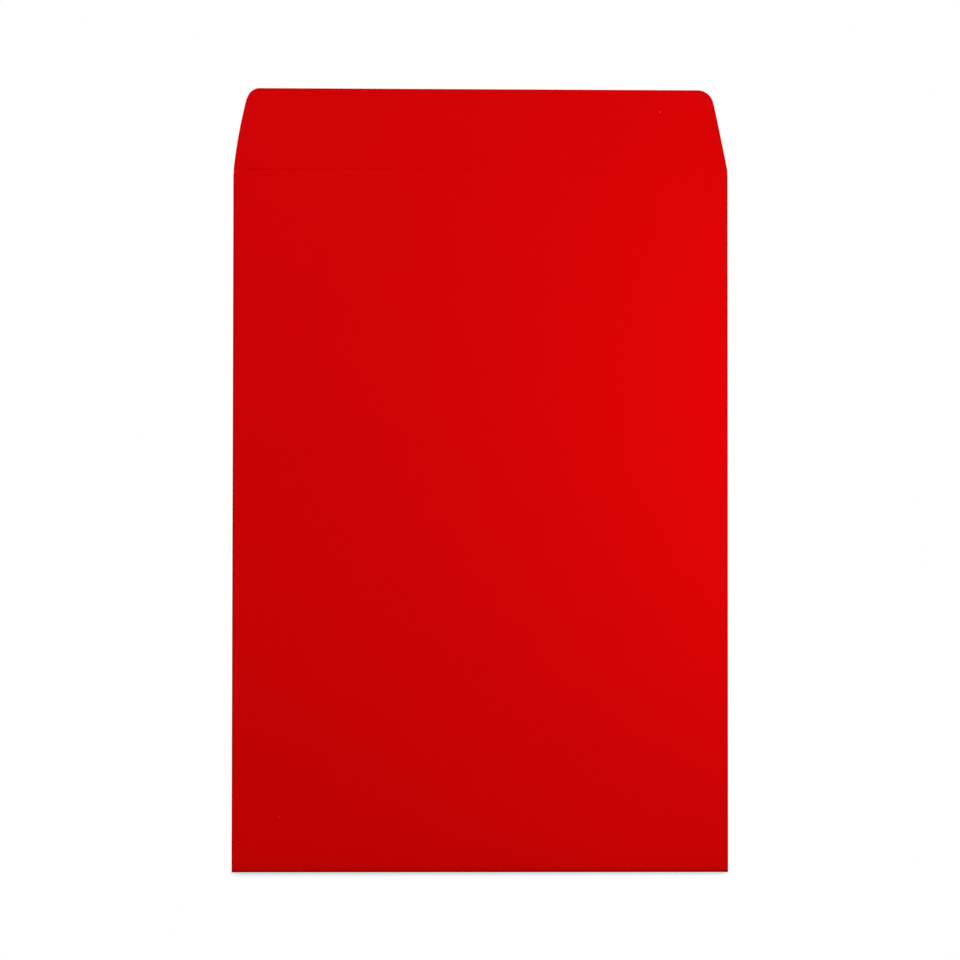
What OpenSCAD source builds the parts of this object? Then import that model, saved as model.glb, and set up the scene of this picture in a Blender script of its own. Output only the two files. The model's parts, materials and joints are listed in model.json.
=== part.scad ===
// Board-backed envelope, standing on its bottom fold with the closing flap open.
// X runs across the pocket, -Y faces the reader of the address side, +Z runs up to the flap.
// The origin is under the middle of the bottom fold.

/* [Pocket] */
// Width of the pocket over its two side folds
pocket_width = 229; // [120:1:400]
// Height of the pocket from the bottom fold to the flap's score line
pocket_height = 324; // [160:1:500]
// Free depth between the front sheet and the board
pocket_gap = 1.6; // [0.6:0.1:6]
// How far the board and the side seams stop below the score line
throat_drop = 2.5; // [2:0.5:20]

/* [Paper] */
// Thickness of the coloured paper
paper_t = 0.18; // [0.12:0.01:0.4]
// Width of each side seam that is turned onto the board
side_seam_width = 18; // [10:1:35]
// How far the top of each side seam slants down
side_seam_slant = 7; // [0:1:20]
// Height of the bottom seam that is turned up onto the board
bottom_seam_height = 26; // [12:1:60]
// How far each end of the bottom seam slants in
bottom_seam_slant = 8; // [0:1:20]

/* [Flap] */
// Height of the flap above the score line
flap_height = 38; // [30:1:80]
// How far each side of the flap runs in by its top edge
flap_taper = 7.2; // [2:0.2:20]
// Bulge of each tapering side beyond a straight line
flap_bow = 0.45; // [0.1:0.05:2]
// Radius of the flap's two top corners
flap_corner_r = 5.8; // [3:0.2:12]
// Height of the scored strip, half below and half above the score line, that bends when the flap closes
score_strip = 3; // [1:0.2:4]
// Depth of the groove that is pressed along the scored strip
score_depth = 0.06; // [0.02:0.01:0.08]

/* [Board] */
// Thickness of the grey backing board
board_t = 1; // [0.5:0.05:2]

/* [Glue and seal] */
// Thickness of the glue film under each seam
glue_t = 0.06; // [0.04:0.01:0.2]
// Width of seam that is left dry on each side of its glue
glue_margin = 3; // [1:0.5:4]
// Length of the adhesive strip on the flap
seal_length = 196; // [80:1:380]
// Width of the adhesive strip
seal_width = 16; // [8:1:20]
// Thickness of the adhesive strip
seal_t = 0.1; // [0.05:0.01:0.3]
// Distance from the flap's top edge to the adhesive strip
seal_inset = 6; // [4:0.5:12]
// Thickness of the release liner
liner_t = 0.08; // [0.05:0.01:0.2]
// How far the liner runs past each end of the adhesive as a dry finger lift
liner_lift = 4; // [2:0.5:6]
// How far the liner covers past each long edge of the adhesive
liner_lap = 1; // [0:0.25:2]

/* [Closing] */
// Free depth between the closed flap's liner and the side seams
closing_gap = 0.3; // [0.3:0.1:2]

/* [Hidden] */
// Fineness of the round forms, and of the shallow arcs on the flap's sides
$fn = 96;
long_arc_fn = 720;
// Depth taken by one seam and its glue film
seam_stack = glue_t + paper_t;
// Depth from the address face to the outer face of the bottom seam
depth = paper_t + pocket_gap + board_t + 2 * seam_stack;
// Places along Y, from the address face to the back
front_y = -depth / 2;
inner_y = front_y + paper_t;
board_y = inner_y + pocket_gap;
side_glue_y = board_y + board_t;
side_seam_y = side_glue_y + glue_t;
bottom_glue_y = side_seam_y + paper_t;
bottom_seam_y = bottom_glue_y + glue_t;
// Outer radii of the rounded folds
side_fold_r = (bottom_glue_y - front_y) / 2;
bottom_fold_r = depth / 2;
// Half width of the flat part of the pocket between the side folds
flat_half = pocket_width / 2 - side_fold_r;
// Heights of the pocket's edges
board_top = pocket_height - throat_drop;
panel_top = pocket_height - score_strip / 2;
flap_bottom = pocket_height + score_strip / 2;
flap_top = pocket_height + flap_height;
bottom_seam_top = bottom_fold_r + bottom_seam_height;
// Big circle that bows the flap's side from the score line to its top edge
side_chord = norm([flap_taper, flap_height]);
side_arc_r = pow(side_chord, 2) / (8 * flap_bow) + flap_bow / 2;
side_middle = [pocket_width / 2 - flap_taper / 2, pocket_height + flap_height / 2];
side_inward = [-flap_height, -flap_taper] / side_chord;
side_centre = side_middle + side_inward * (side_arc_r - flap_bow);
// Circle of the top corner, which touches the big circle and the top edge
corner_z = flap_top - flap_corner_r;
corner_reach = side_arc_r - flap_corner_r;
corner_x = side_centre.x + sqrt(pow(corner_reach, 2) - pow(corner_z - side_centre.y, 2));
corner = [corner_x, corner_z];
tangent = side_centre + (corner - side_centre) * side_arc_r / corner_reach;
// Place of the adhesive strip up the flap
seal_bottom = flap_top - seal_inset - seal_width;
// Axis of the flap's fold, set so that the closed flap lies clear of the side seams
closed_inner_y = bottom_glue_y + closing_gap + seal_t + liner_t;
fold_axis_y = (front_y + closed_inner_y + paper_t) / 2;
fold_axis = [0, fold_axis_y, pocket_height];

paper_colour = [0.81, 0.02, 0.03];
board_colour = [0.62, 0.6, 0.56];
glue_colour = [0.9, 0.87, 0.76];
seal_colour = [0.92, 0.9, 0.8];
liner_colour = [0.96, 0.96, 0.94];

// Sheet of the given thickness from an outline in X and Z, with its front face at the given Y
module sheet(y, thickness) {
    translate([0, y + thickness, 0])
        rotate([90, 0, 0])
            linear_extrude(thickness)
                children();
}

// Rectangle centred on the middle of the envelope
module band(half_width, bottom, top) {
    translate([-half_width, bottom])
        square([2 * half_width, top - bottom]);
}

// Rounded turn of the paper through half a circle, open towards -X
module half_turn(radius) {
    difference() {
        circle(radius);
        circle(radius - paper_t);
        translate([-2 * radius, -radius])
            square(2 * radius);
    }
}

// Side fold on +X
module side_fold() {
    translate([flat_half, front_y + side_fold_r, 0])
        linear_extrude(panel_top)
            half_turn(side_fold_r);
}

// Outline of the side seam on +X, with its slanted top
module side_seam_outline() {
    inner = flat_half - side_seam_width;
    polygon([[inner, bottom_fold_r], [flat_half, bottom_fold_r], [flat_half, board_top],
             [inner, board_top - side_seam_slant]]);
}

// Glue film under the side seam on +X
module side_seam_glue() {
    inner = flat_half - side_seam_width + glue_margin;
    bottom = bottom_fold_r + glue_margin;
    top = board_top - side_seam_slant - glue_margin;
    sheet(side_glue_y, glue_t)
        translate([inner, bottom])
            square([side_seam_width - 2 * glue_margin, top - bottom]);
}

// Wedge in Y and Z that leaves a shallow groove across the whole scored strip
module score_groove() {
    polygon([[front_y - score_depth, pocket_height - score_strip], [front_y + score_depth, pocket_height],
             [front_y - score_depth, pocket_height + score_strip]]);
}

// Part of the flap's tapering sides between two heights
module flap_sides(bottom, top) {
    intersection() {
        band(pocket_width / 2, bottom, top);
        translate(side_centre)
            circle(side_arc_r, $fn = long_arc_fn);
        mirror([1, 0])
            translate(side_centre)
                circle(side_arc_r, $fn = long_arc_fn);
    }
}

// Rounded top corner of the flap on +X, from the tapering side round to the top edge
module flap_corner() {
    intersection() {
        translate(corner)
            circle(flap_corner_r);
        polygon([corner, corner + 2 * (tangent - corner), corner + 2 * [flap_corner_r, flap_corner_r],
                 corner + [0, 2 * flap_corner_r]]);
    }
}

module front_panel() {
    color(paper_colour)
        sheet(front_y, paper_t)
            band(flat_half, bottom_fold_r, panel_top);
}

module left_fold() {
    color(paper_colour)
        mirror([1, 0, 0])
            side_fold();
}

module right_fold() {
    color(paper_colour)
        side_fold();
}

module bottom_fold() {
    color(paper_colour)
        translate([-flat_half, 0, bottom_fold_r])
            rotate([0, 90, 0])
                linear_extrude(2 * flat_half)
                    half_turn(bottom_fold_r);
}

module left_seam() {
    color(paper_colour)
        sheet(side_seam_y, paper_t)
            mirror([1, 0])
                side_seam_outline();
}

module right_seam() {
    color(paper_colour)
        sheet(side_seam_y, paper_t)
            side_seam_outline();
}

module bottom_seam() {
    top_half = flat_half - bottom_seam_slant;
    color(paper_colour)
        sheet(bottom_seam_y, paper_t)
            polygon([[-flat_half, bottom_fold_r], [flat_half, bottom_fold_r],
                     [top_half, bottom_seam_top], [-top_half, bottom_seam_top]]);
}

module flap_crease() {
    color(paper_colour)
        difference() {
            sheet(front_y, paper_t)
                flap_sides(panel_top, flap_bottom);
            translate([-pocket_width, 0, 0])
                rotate([90, 0, 90])
                    linear_extrude(2 * pocket_width)
                        score_groove();
        }
}

module closure_flap() {
    color(paper_colour)
        sheet(front_y, paper_t) {
            flap_sides(flap_bottom, tangent.y);
            polygon([[-tangent.x, tangent.y], tangent, corner, [corner.x, flap_top],
                     [-corner.x, flap_top], [-corner.x, corner.y]]);
            flap_corner();
            mirror([1, 0])
                flap_corner();
        }
}

module back_board() {
    color(board_colour)
        sheet(board_y, board_t)
            band(flat_half, bottom_fold_r, board_top);
}

module left_seam_glue() {
    color(glue_colour)
        mirror([1, 0, 0])
            side_seam_glue();
}

module right_seam_glue() {
    color(glue_colour)
        side_seam_glue();
}

// Glue under the bottom seam, thicker between the side seams, where it fills down to the board
module bottom_seam_glue() {
    over_seams = flat_half - bottom_seam_slant - glue_margin;
    between_seams = flat_half - side_seam_width - glue_margin;
    bottom = bottom_fold_r + glue_margin;
    top = bottom_seam_top - glue_margin;
    color(glue_colour) {
        sheet(bottom_glue_y, glue_t)
            band(over_seams, bottom, top);
        sheet(side_glue_y, 2 * glue_t + paper_t)
            band(between_seams, bottom, top);
    }
}

module seal_strip() {
    color(seal_colour)
        sheet(inner_y, seal_t)
            band(seal_length / 2, seal_bottom, seal_bottom + seal_width);
}

module release_liner() {
    half_length = seal_length / 2 + liner_lift;
    color(liner_colour)
        sheet(inner_y + seal_t, liner_t)
            band(half_length, seal_bottom - liner_lap, seal_bottom + seal_width + liner_lap);
}

echo(fold_axis = fold_axis, address_face_y = front_y, back_face_y = front_y + depth);

front_panel();
left_fold();
right_fold();
bottom_fold();
left_seam();
right_seam();
bottom_seam();
flap_crease();
closure_flap();
back_board();
left_seam_glue();
right_seam_glue();
bottom_seam_glue();
seal_strip();
release_liner();
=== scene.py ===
"""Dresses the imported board-backed envelope: paper sheet, grey board, glue, seal strip and release liner."""

import json
import logging
import math
from abc import ABC, abstractmethod
from collections.abc import Callable, Mapping, Sequence
from dataclasses import dataclass, field
from enum import Enum
from functools import cached_property
from typing import ClassVar, Self

import bmesh
import bpy
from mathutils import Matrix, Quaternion, Vector

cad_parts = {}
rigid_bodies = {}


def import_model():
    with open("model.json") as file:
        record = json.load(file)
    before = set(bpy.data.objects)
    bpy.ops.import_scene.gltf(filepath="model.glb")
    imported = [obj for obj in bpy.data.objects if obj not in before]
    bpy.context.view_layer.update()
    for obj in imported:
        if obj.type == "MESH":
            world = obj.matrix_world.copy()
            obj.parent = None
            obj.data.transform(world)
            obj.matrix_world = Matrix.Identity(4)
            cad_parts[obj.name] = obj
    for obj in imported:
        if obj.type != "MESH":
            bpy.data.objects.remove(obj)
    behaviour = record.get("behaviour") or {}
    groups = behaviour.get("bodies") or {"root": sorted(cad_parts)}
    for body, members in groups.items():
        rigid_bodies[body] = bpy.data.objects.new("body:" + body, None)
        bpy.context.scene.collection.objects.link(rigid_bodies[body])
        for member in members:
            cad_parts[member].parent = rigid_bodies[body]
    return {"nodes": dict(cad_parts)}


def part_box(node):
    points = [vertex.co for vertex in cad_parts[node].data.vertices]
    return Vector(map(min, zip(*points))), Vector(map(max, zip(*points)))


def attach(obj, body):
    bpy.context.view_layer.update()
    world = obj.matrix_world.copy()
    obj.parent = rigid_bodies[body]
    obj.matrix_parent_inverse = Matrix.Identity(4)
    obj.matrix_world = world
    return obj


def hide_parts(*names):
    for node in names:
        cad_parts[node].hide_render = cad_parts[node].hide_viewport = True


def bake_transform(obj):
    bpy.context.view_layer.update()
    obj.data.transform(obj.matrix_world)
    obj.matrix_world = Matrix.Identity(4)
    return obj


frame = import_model()

LOG = logging.getLogger("envelope")
NEAR = 2e-6  # metres within which a point counts as being at a place
MERGE = NEAR / 4  # metres within which two points become one
SHARP = math.radians(40)  # edges that turn more than this stay sharp in the shading

Triple = tuple[float, float, float]
Test = Callable[[Vector], bool]
Weight = Callable[[Vector], float]

WHITE: Triple = (1, 1, 1)


def opaque(colour: Triple) -> tuple[float, float, float, float]:
    """Adds full opacity to a colour."""
    return (*colour, 1.0)


def ease(share: float) -> float:
    """Rises smoothly from 0 to 1 as the share does, and stays there beyond both ends."""
    held = min(max(share, 0.0), 1.0)
    return held * held * (3 - 2 * held)


def arch(share: float) -> float:
    """Rises from 0 to 1 halfway and falls back to 0, along a parabola."""
    return 4 * share * (1 - share)


def divide(start: float, end: float, parts: int) -> list[float]:
    """Gives the places that divide a length into equal parts, both ends among them."""
    return [start + (end - start) * i / parts for i in range(parts + 1)]


class Pick(Enum):
    """Kinds of mesh element that are selected at the bench."""

    POINTS = "VERT"
    EDGES = "EDGE"
    FACES = "FACE"


class Form(Enum):
    """Primitives that a piece starts from."""

    GRID = "grid"
    PLANE = "plane"
    CUBE = "cube"


class Way(Enum):
    """Directions that points are pressed in."""

    BACK = "Y"
    UP = "Z"


class Bench:
    """Shapes one piece with Blender's own tools, with nothing else selected."""

    def __init__(
        self, name: str, form: Form, low: Vector, high: Vector, cuts: tuple[int, int] = (1, 1)
    ) -> None:
        """Adds the primitive that fills a box. A plane or grid stands upright and faces -Y.

        Args:
            name: Name of the piece.
            form: Primitive that the piece starts from.
            low: Lowest corner of the box, in metres.
            high: Highest corner of the box.
            cuts: Parts across and up, for a grid.
        """
        bpy.ops.object.select_all(action="DESELECT")
        size, middle = high - low, (low + high) / 2
        upright = (math.pi / 2, 0, 0)
        if form is Form.CUBE:
            bpy.ops.mesh.primitive_cube_add(size=1, location=middle)
        elif form is Form.PLANE:
            bpy.ops.mesh.primitive_plane_add(size=1, location=middle, rotation=upright)
        else:
            bpy.ops.mesh.primitive_grid_add(
                x_subdivisions=cuts[0], y_subdivisions=cuts[1], size=1, location=middle, rotation=upright
            )
        self.piece = bpy.context.active_object
        self.piece.name = name
        self.piece.data.name = name
        self.piece.scale = tuple(size) if form is Form.CUBE else (size.x, size.z, 1)
        bpy.ops.object.transform_apply(location=True, rotation=True, scale=True)

    def __enter__(self) -> Self:
        """Takes the piece into edit mode."""
        bpy.ops.object.mode_set(mode="EDIT")
        return self

    def __exit__(self, *problem: object) -> None:
        """Takes the piece back to object mode."""
        bpy.ops.object.mode_set(mode="OBJECT")

    def pick(self, kind: Pick, test: Test) -> None:
        """Selects the elements of a kind whose points all pass a test of place.

        Args:
            kind: Points, edges or faces.
            test: Says whether a point belongs to the selection.
        """
        bpy.ops.mesh.select_mode(type=kind.value)
        bpy.ops.mesh.select_all(action="DESELECT")
        mesh = bmesh.from_edit_mesh(self.piece.data)
        groups = {Pick.POINTS: mesh.verts, Pick.EDGES: mesh.edges, Pick.FACES: mesh.faces}
        for element in groups[kind]:
            points = [element] if kind is Pick.POINTS else element.verts
            element.select_set(all(test(point.co) for point in points))
        mesh.select_flush_mode()
        bmesh.update_edit_mesh(self.piece.data)

    def pick_all(self) -> None:
        """Selects every point of the piece."""
        bpy.ops.mesh.select_mode(type=Pick.POINTS.value)
        bpy.ops.mesh.select_all(action="SELECT")

    def turn(self, centre: Triple, axis: Triple, angle: float, steps: int) -> None:
        """Spins the selected edges round an axis, and leaves the last row selected.

        Args:
            centre: Point on the axis.
            axis: Direction of the axis.
            angle: Turn in radians, anticlockwise where the axis points at the viewer.
            steps: Number of rows of faces.
        """
        bpy.ops.mesh.spin(steps=steps, angle=-angle, center=centre, axis=axis)

    def pull(self, move: Triple, times: int = 1) -> None:
        """Extrudes the selection by a move, several times over."""
        for _ in range(times):
            bpy.ops.mesh.extrude_region_move(TRANSFORM_OT_translate={"value": move})

    def cut(self, place: Triple, normal: Triple, clear: bool = False) -> None:
        """Cuts the selected faces along a plane, and removes what lies in front of it if asked to."""
        bpy.ops.mesh.bisect(plane_co=place, plane_no=normal, clear_outer=clear, threshold=MERGE)

    def slice_up(self, heights: Sequence[float]) -> None:
        """Cuts all faces level at the given heights.

        Args:
            heights: Z of each cut.
        """
        for height in heights:
            self.pick_all()
            self.cut((0, 0, height), (0, 0, 1))

    def slice_across(self, places: Sequence[float]) -> None:
        """Cuts all faces upright at the given places.

        Args:
            places: X of each cut.
        """
        for place in places:
            self.pick_all()
            self.cut((place, 0, 0), (1, 0, 0))

    def round_corners(self, offset: float, steps: int) -> None:
        """Rounds the selected corners of a flat sheet, from an offset along each edge."""
        bpy.ops.mesh.bevel(offset=offset, segments=steps, affect="VERTICES", clamp_overlap=False)

    def round_edges(self, offset: float, steps: int) -> None:
        """Rounds all edges of a block, from an offset into each face."""
        self.pick_all()
        bpy.ops.mesh.bevel(offset=offset, segments=steps, affect="EDGES")

    def move_points(self, test: Test, move: Triple) -> None:
        """Moves the points that pass a test, and leaves them selected."""
        self.pick(Pick.POINTS, test)
        bpy.ops.transform.translate(value=move)

    def close_up(self) -> None:
        """Merges doubled points and turns all faces the same way."""
        self.pick_all()
        bpy.ops.mesh.remove_doubles(threshold=MERGE)
        bpy.ops.mesh.normals_make_consistent(inside=False)

    def modify(self, kind: str, **settings: object) -> None:
        """Adds a modifier with its settings and applies it.

        Args:
            kind: Type of the modifier.
            settings: Its properties.
        """
        modifier = self.piece.modifiers.new(kind.lower(), kind)
        for name, value in settings.items():
            setattr(modifier, name, value)
        bpy.ops.object.modifier_apply(modifier=modifier.name)

    def press(self, weight: Weight, way: Way, depth: float, swell: bpy.types.Texture | None = None) -> None:
        """Presses points along an axis, each by its own weight.

        Args:
            weight: Share of the depth at a point, from 0 to 1.
            way: Direction of the move.
            depth: Move at full weight, in metres.
            swell: Texture that varies the depth, if any.
        """
        group = self.piece.vertex_groups.new(name="press")
        for point in self.piece.data.vertices:
            group.add([point.index], weight(point.co), "REPLACE")
        self.modify(
            "DISPLACE", direction=way.value, strength=depth, mid_level=0, vertex_group=group.name,
            texture=swell, texture_coords="LOCAL",
        )
        self.piece.vertex_groups.clear()

    def thicken(self, thickness: float) -> None:
        """Gives a sheet its thickness, half to each side."""
        self.modify("SOLIDIFY", thickness=thickness, offset=0, use_even_offset=True)

    def smooth(self) -> None:
        """Shades smooth over all but the sharp edges."""
        bpy.ops.object.shade_smooth_by_angle(angle=SHARP)


def swell_texture(name: str, size: float) -> bpy.types.Texture:
    """Makes a soft cloud texture for pressing points unevenly.

    Args:
        name: Name of the texture.
        size: Size of its swells, in metres.

    Returns:
        The texture.
    """
    texture = bpy.data.textures.new(name, type="CLOUDS")
    texture.noise_scale = size
    texture.noise_depth = 1
    return texture


class Sum(Enum):
    """Math node operations that the finishes use."""

    ADD = "ADD"
    SUBTRACT = "SUBTRACT"
    MULTIPLY = "MULTIPLY"
    LESS = "LESS_THAN"
    LARGER = "MAXIMUM"
    SIZE = "ABSOLUTE"
    ROOT = "SQRT"


class Signal:
    """An output of a node, which shader maths is written with."""

    def __init__(self, painter: "Painter", node: bpy.types.Node, out: str | int) -> None:
        """Keeps the painter, one of its nodes, and which output of the node is meant.

        Args:
            painter: Painter of the node tree.
            node: The node.
            out: Number, identifier or name of the output.
        """
        self.painter = painter
        self.node = node
        self.out = out

    @property
    def socket(self) -> bpy.types.NodeSocket:
        """The output's socket."""
        return self.painter.find(self.node.outputs, self.out)

    def other(self, out: str | int) -> "Signal":
        """Gives another output of the same node."""
        return Signal(self.painter, self.node, out)

    def work(self, step: Sum, *values: "Signal | float") -> "Signal":
        """Adds a Math node for one step on the given values."""
        return self.painter.node("ShaderNodeMath", {"operation": step.value}, dict(enumerate(values)))

    def __add__(self, other: "Signal | float") -> "Signal":
        """Adds a signal or number."""
        return self.work(Sum.ADD, self, other)

    def __radd__(self, other: float) -> "Signal":
        """Adds this to a number."""
        return self.work(Sum.ADD, other, self)

    def __sub__(self, other: "Signal | float") -> "Signal":
        """Takes away a signal or number."""
        return self.work(Sum.SUBTRACT, self, other)

    def __rsub__(self, other: float) -> "Signal":
        """Takes this away from a number."""
        return self.work(Sum.SUBTRACT, other, self)

    def __mul__(self, other: "Signal | float") -> "Signal":
        """Multiplies by a signal or number."""
        return self.work(Sum.MULTIPLY, self, other)

    def __rmul__(self, other: float) -> "Signal":
        """Multiplies a number by this."""
        return self.work(Sum.MULTIPLY, other, self)

    def __lt__(self, other: "Signal | float") -> "Signal":
        """Gives 1 where this is below a signal or number, and 0 elsewhere."""
        return self.work(Sum.LESS, self, other)

    def __abs__(self) -> "Signal":
        """Drops the sign."""
        return self.work(Sum.SIZE, self)

    def at_least(self, least: float) -> "Signal":
        """Holds the signal at or above a number."""
        return self.work(Sum.LARGER, self, least)

    def slant(self, other: "Signal") -> "Signal":
        """Gives the long side of a right triangle whose short sides are this and another signal."""
        squares = self * self + other * other
        return self.work(Sum.ROOT, squares)


Socket = Signal | float | Sequence[float]


@dataclass(frozen=True)
class Grain:
    """A noise in a finish, and what it does to the surface.

    Attributes:
        scale: Swells to the metre.
        detail: Finer layers on top.
        rough: Share of the finer layers.
        stretch: Factor on each coordinate.
        shade: How far it varies the colour.
        dull: How far it varies the roughness.
        lift: Its share in the relief.
    """

    scale: float
    detail: float
    rough: float = 0.5
    stretch: Triple = (1, 1, 1)
    shade: float = 0.0
    dull: float = 0.0
    lift: float = 0.0


@dataclass(frozen=True)
class Specks:
    """Small specks of uneven size strewn through a finish.

    Attributes:
        colour: Linear colour.
        pitch: Mean distance between specks, in metres.
        radius: Mean radius of a speck, in metres.
        stretch: Factor on each coordinate.
        spread: How far their sizes differ.
        patch: Swells of their size to each pitch.
    """

    colour: Triple
    pitch: float
    radius: float
    stretch: Triple = (1, 1, 1)
    spread: float = 5.0
    patch: float = 0.4


@dataclass(frozen=True)
class Pattern:
    """A grain as painted: its noise, which swings about 0, and its effects on the surface."""

    grain: Grain
    noise: Signal

    @property
    def shade(self) -> Signal:
        """Change of the colour's level."""
        return self.grain.shade * self.noise

    @property
    def dull(self) -> Signal:
        """Change of the roughness."""
        return self.grain.dull * self.noise

    @property
    def lift(self) -> Signal:
        """Height in the relief."""
        return self.grain.lift * self.noise


class Painter:
    """Adds nodes to one node tree."""

    noise_middle: ClassVar[float] = 0.5

    def __init__(self, tree: bpy.types.NodeTree) -> None:
        """Takes a tree and empties it."""
        self.tree = tree
        tree.nodes.clear()

    @staticmethod
    def find(sockets: bpy.types.bpy_prop_collection, key: str | int) -> bpy.types.NodeSocket:
        """Finds a socket by its number, identifier or name.

        Args:
            sockets: Inputs or outputs of a node.
            key: Number, identifier or name.

        Returns:
            The socket.
        """
        if isinstance(key, int):
            return sockets[key]
        return next(socket for socket in sockets if key in (socket.identifier, socket.name))

    def node(
        self,
        kind: str,
        settings: Mapping[str, object] | None = None,
        sockets: Mapping[str | int, Socket] | None = None,
        out: str | int = 0,
    ) -> Signal:
        """Adds a node, sets it, and fills or links its inputs.

        Args:
            kind: Type of the node.
            settings: Properties of the node, which are set first.
            sockets: Values or signals for its inputs.
            out: Output that is handed back.

        Returns:
            The output as a signal.
        """
        made = self.tree.nodes.new(kind)
        for name, value in (settings or {}).items():
            setattr(made, name, value)
        for key, value in (sockets or {}).items():
            socket = self.find(made.inputs, key)
            if isinstance(value, Signal):
                self.tree.links.new(value.socket, socket)
            else:
                socket.default_value = value
        return Signal(self, made, out)

    def where(self, stretch: Triple = (1, 1, 1)) -> Signal:
        """Gives Object coordinates, stretched along the axes.

        Args:
            stretch: Factor on each coordinate.

        Returns:
            The coordinates.
        """
        place = self.node("ShaderNodeTexCoord", out="Object")
        return self.node("ShaderNodeMapping", sockets={"Vector": place, "Scale": stretch})

    def seen(self) -> Signal:
        """Gives 1 for what the camera sees, straight or in gloss or glass, and 0 for other light."""
        ray = self.node("ShaderNodeLightPath", out="Is Camera Ray")
        return 1 - (1 - ray) * (1 - ray.other("Is Glossy Ray")) * (1 - ray.other("Is Transmission Ray"))

    def rising(self, distance: Signal, reach: float) -> Signal:
        """Rises smoothly from 0 to 1 as a distance grows from 0 to a reach."""
        inputs = {"Value": distance, "From Max": reach}
        return self.node("ShaderNodeMapRange", {"interpolation_type": "SMOOTHSTEP"}, inputs)

    def pattern(self, grain: Grain) -> Pattern:
        """Paints a grain.

        Args:
            grain: The grain.

        Returns:
            The grain as painted.
        """
        inputs = {
            "Vector": self.where(grain.stretch), "Scale": grain.scale,
            "Detail": grain.detail, "Roughness": grain.rough,
        }
        noise = self.node("ShaderNodeTexNoise", sockets=inputs) - self.noise_middle
        return Pattern(grain, noise)

    def speckled(self, colour: Signal, specks: Specks) -> Signal:
        """Strews specks over a colour.

        Args:
            colour: Colour between the specks.
            specks: The specks.

        Returns:
            The speckled colour.
        """
        inputs = {"Vector": self.where(specks.stretch), "Scale": 1 / specks.pitch}
        distance = self.node("ShaderNodeTexVoronoi", sockets=inputs)
        patches = self.pattern(Grain(scale=specks.patch / specks.pitch, detail=1))
        inside = distance < specks.radius / specks.pitch * (1 + specks.spread * patches.noise)
        return self.mixed(inside, colour, opaque(specks.colour))

    def shaded(self, colour: Triple, level: Signal) -> Signal:
        """Multiplies a colour by a level.

        Args:
            colour: Linear colour.
            level: Factor, around 1.

        Returns:
            The colour.
        """
        inputs = {"Vector": colour, "Scale": level}
        return self.node("ShaderNodeVectorMath", {"operation": "SCALE"}, inputs)

    def mixed(self, share: Signal, first: Socket, second: Socket) -> Signal:
        """Mixes two colours.

        Args:
            share: Share of the second colour.
            first: Colour at 0.
            second: Colour at 1.

        Returns:
            The mixed colour.
        """
        inputs = {"Factor_Float": share, "A_Color": first, "B_Color": second}
        return self.node("ShaderNodeMix", {"data_type": "RGBA"}, inputs, "Result_Color")

    def blended(self, share: Signal, first: Signal, second: Signal) -> Signal:
        """Mixes two shaders.

        Args:
            share: Share of the second shader.
            first: Shader at 0.
            second: Shader at 1.

        Returns:
            The mixed shader.
        """
        return self.node("ShaderNodeMixShader", sockets={0: share, 1: first, 2: second})

    def bumped(self, height: Signal, distance: float, strength: float = 1.0) -> Signal:
        """Turns a height into a normal.

        Args:
            height: The height.
            distance: Metres that a height of 1 stands for.
            strength: Strength of the bump.

        Returns:
            The normal.
        """
        inputs = {"Height": height, "Distance": distance, "Strength": strength}
        return self.node("ShaderNodeBump", sockets=inputs, out="Normal")

    def surface(self, **sockets: Socket) -> None:
        """Ends the tree in a Principled shader.

        Args:
            sockets: Values or signals for its inputs, with an underscore for each space in a name.
        """
        named = {key.replace("_", " "): value for key, value in sockets.items()}
        shader = self.node("ShaderNodeBsdfPrincipled", sockets=named)
        self.node("ShaderNodeOutputMaterial", sockets={"Surface": shader})


class Finish(ABC):
    """A finish that is painted once and worn by several pieces."""

    name: str

    @cached_property
    def material(self) -> bpy.types.Material:
        """Paints the finish at its first use.

        Returns:
            The material, the same at each use.
        """
        made = bpy.data.materials.new(self.name)
        made.use_nodes = True
        self.paint(Painter(made.node_tree))
        return made

    @abstractmethod
    def paint(self, painter: Painter) -> None:
        """Adds the finish's nodes.

        Args:
            painter: Painter of the material's node tree.
        """


@dataclass(frozen=True)
class RedPaper(Finish):
    """Dyed-through uncoated paper: faint clouds, short fibres, a few pale flecks, and next to no shine."""

    name: str = "red_paper"
    colour: Triple = (0.645, 0.0006, 0.001)
    clouds: Grain = Grain(scale=28, detail=3, rough=0.55, shade=0.05)
    fibres: Grain = Grain(scale=900, detail=4, rough=0.6, shade=0.03, dull=0.14, lift=0.6)
    strands: Grain = Grain(scale=420, detail=2, stretch=(1, 1, 0.22), shade=0.03, lift=0.4)
    flecks: Specks = Specks((0.9, 0.035, 0.033), pitch=0.022, radius=0.00028)
    roughness: float = 0.91
    shine: float = 0.02
    relief: float = 0.000012
    relief_strength: float = 0.5

    def paint(self, painter: Painter) -> None:
        """Adds the paper's nodes.

        Args:
            painter: Painter of the material's node tree.
        """
        clouds = painter.pattern(self.clouds)
        fibres = painter.pattern(self.fibres)
        strands = painter.pattern(self.strands)
        sheet = painter.shaded(self.colour, 1 + clouds.shade + fibres.shade + strands.shade)
        painter.surface(
            Base_Color=painter.speckled(sheet, self.flecks),
            Roughness=self.roughness + fibres.dull,
            Specular_IOR_Level=self.shine,
            Normal=painter.bumped(fibres.lift + strands.lift, self.relief, self.relief_strength),
        )


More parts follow.
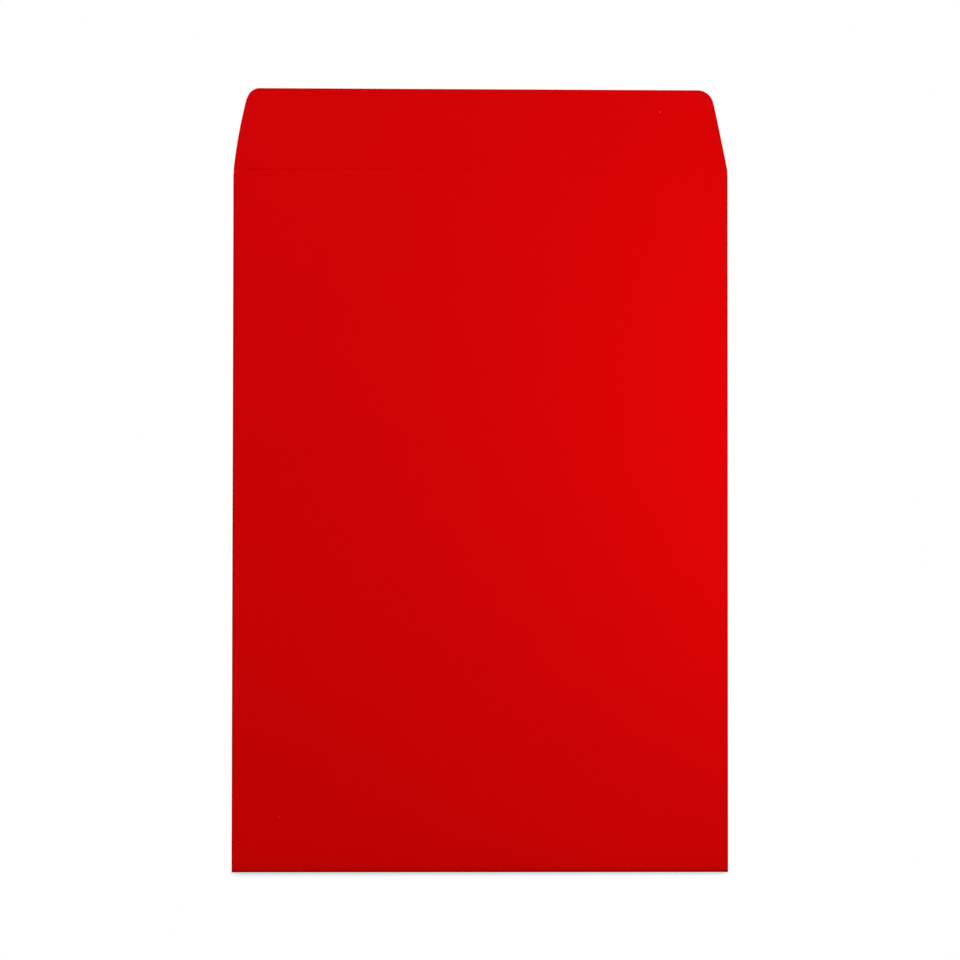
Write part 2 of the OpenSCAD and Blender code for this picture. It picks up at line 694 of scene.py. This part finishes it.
@dataclass(frozen=True)
class GreyBoard(Finish):
    """Recycled greyboard: clouded pulp, dark and pale fibres, and plies along its cut edges."""

    name: str = "grey_board"
    colour: Triple = (0.36, 0.34, 0.31)
    pulp: Grain = Grain(scale=60, detail=4, rough=0.6, shade=0.18, lift=0.5)
    fibres: Grain = Grain(scale=520, detail=4, rough=0.65, shade=0.16, dull=0.12, lift=0.5)
    plies: Grain = Grain(scale=6, detail=1, stretch=(1, 1400, 1), shade=0.1)
    chips: Specks = Specks((0.2, 0.19, 0.175), pitch=0.0034, radius=0.00022, stretch=(0.4, 1, 1))
    shreds: Specks = Specks((0.47, 0.45, 0.41), pitch=0.0041, radius=0.00024, stretch=(1, 1, 0.3))
    roughness: float = 0.92
    shine: float = 0.2
    relief: float = 0.00008
    relief_strength: float = 0.6

    def paint(self, painter: Painter) -> None:
        """Adds the board's nodes.

        Args:
            painter: Painter of the material's node tree.
        """
        pulp = painter.pattern(self.pulp)
        fibres = painter.pattern(self.fibres)
        plies = painter.pattern(self.plies)
        board = painter.shaded(self.colour, 1 + pulp.shade + fibres.shade + plies.shade)
        painter.surface(
            Base_Color=painter.speckled(painter.speckled(board, self.chips), self.shreds),
            Roughness=self.roughness + fibres.dull,
            Specular_IOR_Level=self.shine,
            Normal=painter.bumped(fibres.lift + pulp.lift, self.relief, self.relief_strength),
        )


@dataclass(frozen=True)
class PaperGlue(Finish):
    """Dried paper glue: a thin pale film with roller streaks."""

    name: str = "paper_glue"
    colour: Triple = (0.78, 0.74, 0.6)
    streaks: Grain = Grain(
        scale=240, detail=3, rough=0.55, stretch=(1, 1, 0.08), shade=0.24, dull=0.4, lift=1
    )
    roughness: float = 0.5
    relief: float = 0.00003

    def paint(self, painter: Painter) -> None:
        """Adds the glue's nodes.

        Args:
            painter: Painter of the material's node tree.
        """
        streaks = painter.pattern(self.streaks)
        painter.surface(
            Base_Color=painter.shaded(self.colour, 1 + streaks.shade),
            Roughness=self.roughness + streaks.dull,
            Normal=painter.bumped(streaks.lift, self.relief),
        )


@dataclass(frozen=True)
class SealAdhesive(Finish):
    """Tacky seal adhesive: pale, glossy, and streaked along the strip."""

    name: str = "seal_adhesive"
    colour: Triple = (0.82, 0.78, 0.62)
    streaks: Grain = Grain(scale=420, detail=3, rough=0.55, stretch=(0.05, 1, 1), shade=0.16, lift=0.6)
    beads: Grain = Grain(scale=260, detail=2, shade=0.12, dull=0.3, lift=0.4)
    roughness: float = 0.27
    relief: float = 0.00005
    gloss: float = 0.5
    gloss_roughness: float = 0.15

    def paint(self, painter: Painter) -> None:
        """Adds the adhesive's nodes.

        Args:
            painter: Painter of the material's node tree.
        """
        streaks = painter.pattern(self.streaks)
        beads = painter.pattern(self.beads)
        painter.surface(
            Base_Color=painter.shaded(self.colour, 1 + streaks.shade + beads.shade),
            Roughness=self.roughness + beads.dull,
            Normal=painter.bumped(streaks.lift + beads.lift, self.relief),
            Coat_Weight=self.gloss,
            Coat_Roughness=self.gloss_roughness,
        )


@dataclass(frozen=True)
class ReleasePaper(Finish):
    """Silicone-coated white liner: a satin face with faint pulp clouds."""

    name: str = "release_paper"
    colour: Triple = (0.876, 0.876, 0.846)
    clouds: Grain = Grain(scale=210, detail=4, rough=0.6, shade=0.09, dull=0.2)
    fibres: Grain = Grain(scale=900, detail=3, rough=0.6, shade=0.04, lift=1)
    roughness: float = 0.42
    relief: float = 0.00001
    relief_strength: float = 0.5

    def paint(self, painter: Painter) -> None:
        """Adds the liner's nodes.

        Args:
            painter: Painter of the material's node tree.
        """
        clouds = painter.pattern(self.clouds)
        fibres = painter.pattern(self.fibres)
        painter.surface(
            Base_Color=painter.shaded(self.colour, 1 + clouds.shade + fibres.shade),
            Roughness=self.roughness + clouds.dull,
            Normal=painter.bumped(fibres.lift, self.relief, self.relief_strength),
        )


@dataclass(frozen=True)
class WhiteFloor(Finish):
    """The studio's floor: white to the camera, with the shadow kept near the envelope.

    Attributes:
        name: Name of the material.
        colour: Colour in the shadow.
        near: Colour in the shadow right by the envelope, which evens out its red light.
        near_reach: Metres that the near colour reaches to the front and back.
        near_narrow: How many times sooner it ends to the sides.
        near_behind: Share of it behind the envelope.
        footprint: Half the width that distances are taken from.
        shadow_reach: Metres within which the shadow ends.
        shadow_fill: Share of white in the deepest shadow.
        bounce: Colour for the light that the floor throws back.
    """

    name: str = "white_floor"
    colour: Triple = (0.93, 0.93, 0.93)
    near: Triple = (0.69, 0.93, 0.93)
    near_reach: float = 0.03
    near_narrow: float = 3.0
    near_behind: float = 0.55
    footprint: float = 0.1075
    shadow_reach: float = 0.06
    shadow_fill: float = 0.35
    bounce: Triple = (0.2, 0.2, 0.2)

    def paint(self, painter: Painter) -> None:
        """Adds the floor's nodes.

        Args:
            painter: Painter of the material's node tree.
        """
        across = painter.node("ShaderNodeSeparateXYZ", sockets={"Vector": painter.where()}, out="X")
        depth = across.other("Y")
        beyond = (abs(across) - self.footprint).at_least(0)
        far = painter.rising(beyond.slant(depth), self.shadow_reach)
        clear = painter.rising((self.near_narrow * beyond).slant(depth), self.near_reach)
        close = (1 - clear) * (self.near_behind + (1 - self.near_behind) * (depth < 0))
        tint = painter.mixed(close, opaque(self.colour), opaque(self.near))
        shadow = painter.node("ShaderNodeBsdfDiffuse", sockets={"Color": tint})
        white = painter.node("ShaderNodeEmission", sockets={"Color": opaque(WHITE), "Strength": 1})
        shown = painter.blended(self.shadow_fill + (1 - self.shadow_fill) * far, shadow, white)
        bounce = painter.node("ShaderNodeBsdfDiffuse", sockets={"Color": opaque(self.bounce)})
        floor = painter.blended(painter.seen(), bounce, shown)
        painter.node("ShaderNodeOutputMaterial", sockets={"Surface": floor})


@dataclass
class Part(ABC):
    """A part of the envelope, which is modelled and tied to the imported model, and then dressed."""

    pieces: list[bpy.types.Object] = field(default_factory=list, init=False)

    @abstractmethod
    def build(self) -> None:
        """Models the part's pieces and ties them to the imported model."""

    def keep(self, piece: bpy.types.Object, slot: str, *nodes: str) -> None:
        """Takes in a modelled piece.

        Args:
            piece: The piece.
            slot: Material slot of the record that the piece takes its finish from. It is not used.
            nodes: CAD nodes that the piece stands for.
        """
        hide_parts(*nodes)
        self.pieces.append(piece)

    def dress(self, finish: Finish) -> None:
        """Puts a finish on the part's pieces in place of what they wear.

        Args:
            finish: The finish.
        """
        for piece in self.pieces:
            piece.data.materials.clear()
            piece.data.materials.append(finish.material)


@dataclass
class Sheet(Part):
    """A part that is modelled from one flat sheet within the box of a CAD node."""

    node: ClassVar[str]
    low: Vector
    high: Vector

    @classmethod
    def from_frame(cls) -> Self:
        """Reads the box of the sheet's CAD node."""
        return cls(*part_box(cls.node))

    @property
    def thickness(self) -> float:
        """Thickness of the sheet."""
        return self.high.y - self.low.y


@dataclass
class PaperPocket(Sheet):
    """The red sheet round the board: front panel, two side folds, the bottom fold, and their seams."""

    node: ClassVar[str] = "front_panel"
    side_back: float
    side_inner: float
    board_top: float
    hem_back: float
    hem_top: float
    side_slant: float = 0.007  # drop of a side seam's top towards its inner edge
    hem_slant: float = 0.008  # how far the bottom seam's ends run in
    columns: int = 76
    rows: int = 108
    fold_steps: int = 12
    seam_rows: int = 4
    swell: float = 0.00022
    swell_size: float = 0.11
    swell_margin: float = 0.03  # margin of the front in which the swelling dies away

    @classmethod
    def from_frame(cls) -> Self:
        """Reads the sizes of the CAD nodes that the sheet stands for.

        Returns:
            The sheet, not built yet.
        """
        side_low, side_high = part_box("right_seam")
        hem_low, hem_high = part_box("bottom_seam")
        return cls(
            *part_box(cls.node),
            side_back=(side_low.y + side_high.y) / 2,
            side_inner=side_low.x,
            board_top=side_high.z,
            hem_back=(hem_low.y + hem_high.y) / 2,
            hem_top=hem_high.z,
        )

    @property
    def middle(self) -> float:
        """Y of the front panel's middle layer."""
        return (self.low.y + self.high.y) / 2

    @property
    def column_places(self) -> list[float]:
        """X of each column of points across the front."""
        return divide(self.low.x, self.high.x, self.columns)

    def flatness(self, point: Vector) -> float:
        """Gives the share of the soft swelling at a point of the front, none along its edges.

        Args:
            point: Point of the sheet before it has its thickness.

        Returns:
            The share, from 0 to 1.
        """
        if point.y > self.middle + NEAR:
            return 0.0
        gaps = (self.high.x - abs(point.x), point.z - self.low.z, self.high.z - point.z)
        return math.prod(ease(gap / self.swell_margin) for gap in gaps)

    def mitre(self, bench: Bench, side: int, move: Triple, test: Test) -> None:
        """Carries a fold's end on to the bottom corner and cuts it along the slant where two folds meet.

        Args:
            bench: Bench with the sheet in edit mode.
            side: 1 for the corner at +X and -1 for -X.
            move: From the fold's end to the far side of the other fold.
            test: Says which points belong to the fold's end.
        """
        bench.pick(Pick.EDGES, test)
        bench.pull(move)
        bpy.ops.mesh.select_more()
        # an end that runs sideways is kept below the slant, and one that runs down above it
        sense = 1 if move[0] else -1
        bench.cut((side * self.high.x, 0, self.low.z), (sense * side, 0, sense), clear=True)

    def fold_side(self, bench: Bench, side: int) -> None:
        """Folds one side round to the back and runs it in as a seam with a slanted top.

        Args:
            bench: Bench with the front panel in edit mode.
            side: 1 for +X and -1 for -X.
        """
        edge = self.high.x
        width = edge - self.side_inner
        radius = (self.side_back - self.middle) / 2
        bench.pick(Pick.EDGES, lambda p: abs(p.x - side * edge) < NEAR and abs(p.y - self.middle) < NEAR)
        bench.turn((side * edge, self.middle + radius, 0), (0, 0, 1), side * math.pi, self.fold_steps)
        bench.pull((-side * width / self.seam_rows, 0, 0), self.seam_rows)
        bench.pick(Pick.FACES, lambda p: 0 < side * p.x < edge + NEAR and abs(p.y - self.side_back) < NEAR)
        bench.cut((side * edge, 0, self.board_top), (-side * self.side_slant, 0, width), clear=True)
        self.mitre(
            bench, side, (0, 0, -radius),
            lambda p: side * p.x > edge - NEAR and abs(p.z - self.low.z) < NEAR,
        )

    def fold_bottom(self, bench: Bench) -> None:
        """Folds the bottom round to the back and runs it up as a seam with slanted ends.

        Args:
            bench: Bench with the front panel in edit mode.
        """
        height = self.hem_top - self.low.z
        radius = (self.hem_back - self.middle) / 2
        bench.pick(Pick.EDGES, lambda p: abs(p.z - self.low.z) < NEAR and abs(p.y - self.middle) < NEAR)
        bench.turn((0, self.middle + radius, self.low.z), (1, 0, 0), math.pi, self.fold_steps)
        bench.pull((0, 0, height / self.seam_rows), self.seam_rows)
        for side in (-1, 1):
            bench.pick(Pick.FACES, lambda p: p.z > self.low.z - NEAR and abs(p.y - self.hem_back) < NEAR)
            bench.cut((side * self.high.x, 0, self.low.z), (side * height, 0, self.hem_slant), clear=True)
            self.mitre(
                bench, side, (side * radius, 0, 0),
                lambda p: p.z < self.low.z + NEAR and abs(p.x - side * self.high.x) < NEAR,
            )

    def build(self) -> None:
        """Models the sheet and ties it to the pocket."""
        bench = Bench("paper_pocket", Form.GRID, self.low, self.high, (self.columns, self.rows))
        with bench:
            self.fold_bottom(bench)
            for side in (-1, 1):
                self.fold_side(bench, side)
            bench.close_up()
        bench.press(self.flatness, Way.BACK, self.swell, swell_texture("front_swell", self.swell_size))
        bench.thicken(self.thickness)
        bench.smooth()
        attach(bench.piece, "pocket")
        self.keep(
            bench.piece, "red_paper", "front_panel", "left_fold", "right_fold", "bottom_fold",
            "left_seam", "right_seam", "bottom_seam",
        )


@dataclass(frozen=True)
class FlapSide:
    """One side of the flap as it was cut: how far it runs in, how it bows, and its upper corner."""

    side: int  # 1 for +X and -1 for -X
    taper: float
    bow: float
    drop: float  # how far the corner lies below the flap's top
    round_offset: float  # where its rounding begins along both edges


@dataclass
class PaperFlap(Sheet):
    """The scored strip and the closing flap, modelled as one sheet with the score across it."""

    node: ClassVar[str] = "flap_crease"
    top: float
    columns: list[float]
    sides: tuple[FlapSide, FlapSide] = (
        FlapSide(side=-1, taper=0.0072, bow=0.0008, drop=0.0, round_offset=0.0046),
        FlapSide(side=1, taper=0.0078, bow=0.00015, drop=0.00045, round_offset=0.0058),
    )
    inset: float = 0.0002  # how far each side stands in from the fold below it
    strip_rows: int = 16
    flap_rows: int = 16
    corner_steps: int = 14
    score_depth: float = 0.00038
    score_drop: float = 0.0002  # how far the groove's middle lies below the strip's
    score_fade: tuple[float, float] = (-0.02, 0.06)  # X between which the groove fades
    score_rest: float = 0.2  # share of its depth that is left

    @classmethod
    def from_pocket(cls, pocket: PaperPocket) -> Self:
        """Reads the sizes of the CAD nodes that the flap stands for.

        Args:
            pocket: The pocket, whose columns of points the flap carries on.

        Returns:
            The flap, not built yet, a little narrower than the pocket with its folds.
        """
        low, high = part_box(cls.node)
        inset = Vector((cls.inset, 0, 0))
        return cls(low + inset, high - inset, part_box("closure_flap")[1].z, pocket.column_places)

    @property
    def score(self) -> float:
        """Height of the score line."""
        return (self.low.z + self.high.z) / 2

    def is_corner(self, point: Vector, side: int) -> bool:
        """Says whether a point of the uncut sheet is its upper corner on a side."""
        return abs(point.z - self.top) < NEAR and side * point.x > 0

    def groove(self, point: Vector) -> float:
        """Gives the share of the score's depth at a point: a soft groove that fades towards +X.

        Args:
            point: Point of the sheet before it has its thickness.

        Returns:
            The share, from 0 to 1.
        """
        start, end = self.score_fade
        fade = 1 - (1 - self.score_rest) * ease((point.x - start) / (end - start))
        middle = self.score - self.score_drop
        half = self.high.z - middle if point.z > middle else middle - self.low.z
        return fade * ease(1 - abs(point.z - middle) / half)

    def shape_side(self, bench: Bench, cut: FlapSide, heights: list[float]) -> None:
        """Bows one tapering side of the flap outwards, row by row.

        Args:
            bench: Bench with the flap in edit mode.
            cut: The side's form.
            heights: Heights of the rows of points.
        """
        rise = self.top - cut.drop - self.score
        for height in heights:
            up = (height - self.score) / rise
            if 0 < up < 1:
                edge = self.high.x - cut.taper * up
                bench.move_points(
                    lambda p: abs(p.z - height) < NEAR and abs(cut.side * p.x - edge) < NEAR,
                    (cut.side * cut.bow * arch(up), 0, 0),
                )

    def build(self) -> None:
        """Models the flap and bakes its place into its points."""
        bench = Bench("paper_flap", Form.PLANE, self.low, Vector((self.high.x, self.high.y, self.score)))
        strip = divide(self.low.z, self.high.z, self.strip_rows)
        flap = divide(self.high.z, self.top, self.flap_rows)
        rows = [height for height in strip[1:] + flap[1:-1] if abs(height - self.score) > NEAR]
        with bench:
            bench.pick(Pick.EDGES, lambda p: abs(p.z - self.score) < NEAR)
            bench.pull((0, 0, self.top - self.score))
            for cut in self.sides:
                bench.move_points(
                    lambda p: self.is_corner(p, cut.side), (-cut.side * cut.taper, 0, -cut.drop)
                )
                bench.round_corners(cut.round_offset, self.corner_steps)
            bench.slice_up(rows)
            for cut in self.sides:
                self.shape_side(bench, cut, rows)
            bench.slice_across(self.columns)
            bench.close_up()
        bench.press(self.groove, Way.BACK, self.score_depth)
        bench.thicken(self.thickness)
        bench.smooth()
        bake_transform(bench.piece)
        self.keep(bench.piece, "red_paper", "flap_crease", "closure_flap")


@dataclass
class BackBoard(Sheet):
    """The stiff grey board that the sheet is glued round."""

    node: ClassVar[str] = "back_board"
    edge_round: float = 0.00014
    edge_steps: int = 3

    def build(self) -> None:
        """Models the board and ties it to the pocket."""
        bench = Bench("board", Form.CUBE, self.low, self.high)
        with bench:
            bench.round_edges(self.edge_round, self.edge_steps)
        bench.smooth()
        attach(bench.piece, "pocket")
        self.keep(bench.piece, "grey_board", "back_board")


@dataclass
class Strip(Sheet):
    """A long strip with rounded corners, divided into columns and rows that can be pressed."""

    pitch: float
    rows: int
    corner: float
    corner_steps: int = 5

    def lay(self, name: str) -> Bench:
        """Lays the strip out flat, without its thickness.

        Args:
            name: Name of the piece.

        Returns:
            The bench with the strip on it.
        """
        bench = Bench(name, Form.PLANE, self.low, self.high)
        columns = round((self.high.x - self.low.x) / self.pitch)
        with bench:
            bench.pick_all()
            bench.round_corners(self.corner, self.corner_steps)
            bench.slice_across(divide(self.low.x, self.high.x, columns)[1:-1])
            bench.slice_up(divide(self.low.z, self.high.z, self.rows)[1:-1])
            bench.close_up()
        return bench


@dataclass
class SealStrip(Strip):
    """The adhesive strip on the flap, whose long edges run a little unevenly."""

    node: ClassVar[str] = "seal_strip"
    pitch: float = 0.0025
    rows: int = 4
    corner: float = 0.0015
    waver: float = 0.0007
    waver_size: float = 0.006
    waver_margin: float = 0.002

    def build(self) -> None:
        """Models the strip and ties it to the flap."""
        bench = self.lay("adhesive_strip")
        texture = swell_texture("edge_waver", self.waver_size)
        bench.press(lambda p: float(p.z > self.high.z - self.waver_margin), Way.UP, -self.waver, texture)
        bench.press(lambda p: float(p.z < self.low.z + self.waver_margin), Way.UP, self.waver, texture)
        bench.thicken(self.thickness)
        bench.smooth()
        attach(bench.piece, "flap")
        self.keep(bench.piece, "seal_adhesive", "seal_strip")


@dataclass
class ReleaseLiner(Strip):
    """The liner over the adhesive, faintly cockled, with its dry ends lifted for a finger."""

    node: ClassVar[str] = "release_liner"
    pitch: float = 0.003
    rows: int = 6
    corner: float = 0.0012
    cockle: float = 0.00006
    cockle_size: float = 0.022
    lift: float = 0.00014
    lift_length: float = 0.006

    def lifted(self, point: Vector) -> float:
        """Gives the share of the end's lift at a point."""
        return ease((abs(point.x) - self.high.x + self.lift_length) / self.lift_length)

    def build(self) -> None:
        """Models the liner and ties it to the body that peels off."""
        bench = self.lay("liner_strip")
        bench.press(lambda p: 1.0, Way.BACK, self.cockle, swell_texture("liner_cockle", self.cockle_size))
        bench.press(self.lifted, Way.BACK, self.lift)
        bench.thicken(self.thickness)
        bench.smooth()
        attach(bench.piece, "liner")
        self.keep(bench.piece, "release_paper", "release_liner")


@dataclass
class SeamGlue(Part):
    """The glue films under the three seams, which keep the shapes of their CAD nodes."""

    films: tuple[str, ...] = ("left_seam_glue", "right_seam_glue", "bottom_seam_glue")

    def build(self) -> None:
        """Takes in the CAD nodes, which ride on their body already."""
        self.pieces.extend(frame["nodes"][name] for name in self.films)


class LampKind(Enum):
    """Kinds of lamp in the studio."""

    ROUND = "POINT"
    HOODED = "SPOT"
    DISTANT = "SUN"


@dataclass(frozen=True)
class Lamp:
    """A lamp that the camera doesn't see, turned from its place towards its aim.

    Attributes:
        name: Name of the lamp.
        kind: Kind of lamp.
        power: Watts, or the strength of a distant lamp.
        softness: Radius in metres, or the angle of a distant lamp in radians.
        place: Where it stands.
        aim: Point that it is turned to.
        cone: Whole angle that a hooded lamp lights.
        cone_fade: Share of the cone that fades out.
    """

    name: str
    kind: LampKind
    power: float
    softness: float
    place: Triple
    aim: Triple = (0, 0, 0)
    cone: float = math.radians(132)
    cone_fade: float = 0.3

    def build(self) -> None:
        """Adds the lamp to the scene. A hooded one lights its cone alone, with a soft edge."""
        data = bpy.data.lights.new(self.name, type=self.kind.value)
        data.energy = self.power
        if self.kind is LampKind.DISTANT:
            data.angle = self.softness
        else:
            data.shadow_soft_size = self.softness
        if self.kind is LampKind.HOODED:
            data.spot_size = self.cone
            data.spot_blend = self.cone_fade
        lamp = bpy.data.objects.new(self.name, data)
        lamp.location = self.place
        lamp.rotation_mode = "QUATERNION"
        lamp.rotation_quaternion = (Vector(self.aim) - Vector(self.place)).to_track_quat("-Z", "Y")
        lamp.visible_camera = False
        bpy.context.scene.collection.objects.link(lamp)


@dataclass(frozen=True)
class Studio:
    """The white floor and surround, the lamps, and the camera at the photograph's angle."""

    lamps: tuple[Lamp, ...] = (
        Lamp(
            "right_lamp", LampKind.HOODED, power=1.29, softness=0.07,
            place=(0.228, -0.217, 0.198), aim=(-0.3, 0, 0.18),
        ),
        Lamp("front_lamp", LampKind.ROUND, power=41, softness=0.12, place=(-0.3, -1.2, 0.8)),
        Lamp("back_lamp", LampKind.ROUND, power=25, softness=0.2, place=(0.35, 0.9, 0.6)),
        Lamp("top_lamp", LampKind.DISTANT, power=1.7, softness=math.radians(2.2), place=(0, 0.022, 1)),
    )
    ambient: float = 0.3  # strength of the surround as light
    floor: WhiteFloor = WhiteFloor()
    floor_width: float = 6.0
    camera_place: Triple = (-0.0107, -1.0481, 0.1636)
    camera_aim: Triple = (-0.0002, 0.0, 0.1808)
    camera_roll: float = 0.00097
    lens: float = 85.0
    sensor: float = 36.0

    def build_camera(self) -> None:
        """Adds the camera and makes it the scene's."""
        data = bpy.data.cameras.new("camera")
        data.lens = self.lens
        data.sensor_width = self.sensor
        camera = bpy.data.objects.new("camera", data)
        camera.location = self.camera_place
        look = (Vector(self.camera_aim) - Vector(self.camera_place)).to_track_quat("-Z", "Y")
        camera.rotation_mode = "QUATERNION"
        camera.rotation_quaternion = look @ Quaternion((0, 0, 1), self.camera_roll)
        bpy.context.scene.collection.objects.link(camera)
        bpy.context.scene.camera = camera

    def build_world(self) -> None:
        """Sets a plain white surround, dimmer as light than as background."""
        world = bpy.data.worlds.new("surround")
        world.use_nodes = True
        bpy.context.scene.world = world
        painter = Painter(world.node_tree)
        strength = self.ambient + (1 - self.ambient) * painter.seen()
        light = painter.node("ShaderNodeBackground", sockets={"Color": opaque(WHITE), "Strength": strength})
        painter.node("ShaderNodeOutputWorld", sockets={"Surface": light})

    def build_floor(self) -> None:
        """Adds the floor under the envelope."""
        bpy.ops.object.select_all(action="DESELECT")
        bpy.ops.mesh.primitive_plane_add(size=self.floor_width)
        floor = bpy.context.active_object
        floor.name = "floor"
        floor.data.materials.append(self.floor.material)

    def build(self) -> None:
        """Sets up the camera, surround, floor and lamps."""
        bpy.context.scene.view_settings.view_transform = "Standard"
        self.build_camera()
        self.build_world()
        self.build_floor()
        for lamp in self.lamps:
            lamp.build()


def main() -> None:
    """Sets up the studio, then builds, dresses and reports each part."""
    logging.basicConfig(level=logging.INFO, format="%(name)s: %(message)s")
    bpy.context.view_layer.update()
    Studio().build()
    red_paper = RedPaper()
    pocket = PaperPocket.from_frame()
    parts: tuple[tuple[Part, Finish], ...] = (
        (pocket, red_paper),
        (PaperFlap.from_pocket(pocket), red_paper),
        (BackBoard.from_frame(), GreyBoard()),
        (SealStrip.from_frame(), SealAdhesive()),
        (ReleaseLiner.from_frame(), ReleasePaper()),
        (SeamGlue(), PaperGlue()),
    )
    for part, finish in parts:
        part.build()
        part.dress(finish)
        for piece in part.pieces:
            LOG.info("%s: %d faces, %s", piece.name, len(piece.data.polygons), finish.name)


if __name__ == "__main__":
    main()
